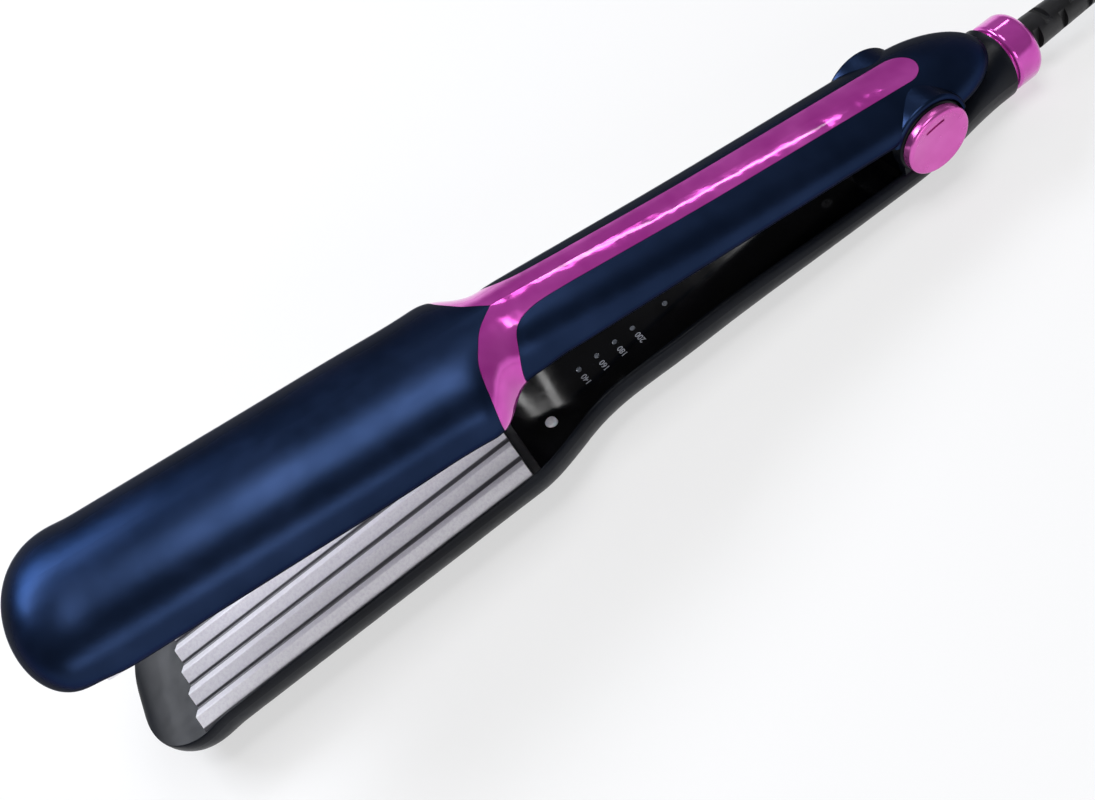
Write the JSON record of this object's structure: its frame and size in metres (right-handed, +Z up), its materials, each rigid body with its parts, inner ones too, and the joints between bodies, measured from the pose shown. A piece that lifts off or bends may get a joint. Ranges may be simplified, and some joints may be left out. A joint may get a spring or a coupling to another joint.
{
  "type": "hair iron",
  "caption": "Crimping hair iron held open on its spring, with corrugated plates, a temperature dial on the hinge, a swivel cord and a mains plug.",
  "frame": {"origin": "centre of the flat strip along the lower arm's belly, on which the iron lies", "axes": "+X from the tips to the cord, -Y the side with the dial, +Z up"},
  "size_m": [0.5235, 0.0606, 0.0734],
  "materials": {
    "navy_plastic": "satin soft-touch",
    "black_gloss": "gloss",
    "magenta_chrome": "bright tinted metallising",
    "magenta_satin": "satin",
    "plate_coating": "ceramic-coated satin",
    "clear_lens": "clear",
    "pale_silicone": "soft",
    "black_rubber": "matte",
    "steel": "plain",
    "brass": "plain",
    "heat_plastic": "glass-filled",
    "heater_ceramic": "fired",
    "board_green": "lacquered",
    "white_lead": "sleeved"
  },
  "bodies": {
    "lower_arm": {"lower_shell": "navy_plastic", "lower_panel": "black_gloss", "lower_plate": "plate_coating", "lower_plate_carrier": "heat_plastic", "lower_heater": "heater_ceramic", "lower_heater_clip": "steel", "thermal_fuse": "steel", "indicator_lenses": "clear_lens", "circuit_board": "board_green", "board_parts": "heat_plastic", "stop_studs": "pale_silicone", "panel_screws": "steel", "mains_leads": "white_lead", "lower_leads": "white_lead", "rotary_switch": "heat_plastic", "hinge_bush": "brass", "hinge_pin": "steel", "hinge_spring": "steel", "hinge_cap": "navy_plastic", "swivel_ring": "magenta_chrome", "swivel_bush": "heat_plastic", "cord": "black_rubber", "cord_coil": "black_rubber", "cord_end": "black_rubber", "plug_relief": "black_rubber", "plug_body": "black_rubber", "plug_pins": "brass"},
    "upper_arm": {"front_cover": "navy_plastic", "grip_cover": "navy_plastic", "trim": "magenta_chrome", "upper_panel": "black_gloss", "upper_frame": "steel", "frame_screws": "steel", "upper_plate": "plate_coating", "upper_plate_carrier": "heat_plastic", "upper_heater": "heater_ceramic", "upper_heater_clip": "steel", "upper_leads": "white_lead"},
    "dial": {"dial": "magenta_satin", "dial_shaft": "heat_plastic"},
    "swivel": {"swivel_head": "heat_plastic", "slip_rings": "brass", "strain_relief": "black_rubber"}
  },
  "joints": [
    {"name": "arm_hinge", "type": "hinge", "parent": "lower_arm", "child": "upper_arm", "pos_m": [0.11, 0, 0.019], "axis": [0, -1, 0], "range_deg": [0, 8.7], "stiffness_Nm_per_rad": 0.35, "springref_deg": -51.57},
    {"name": "dial_turn", "type": "hinge", "parent": "lower_arm", "child": "dial", "pos_m": [0.11, 0, 0.019], "axis": [0, 1, 0], "range_deg": [0, 270]},
    {"name": "cord_swivel", "type": "hinge", "parent": "lower_arm", "child": "swivel", "pos_m": [0.14, 0, 0.0102], "axis": [1, 0, 0], "continuous": true}
  ]
}
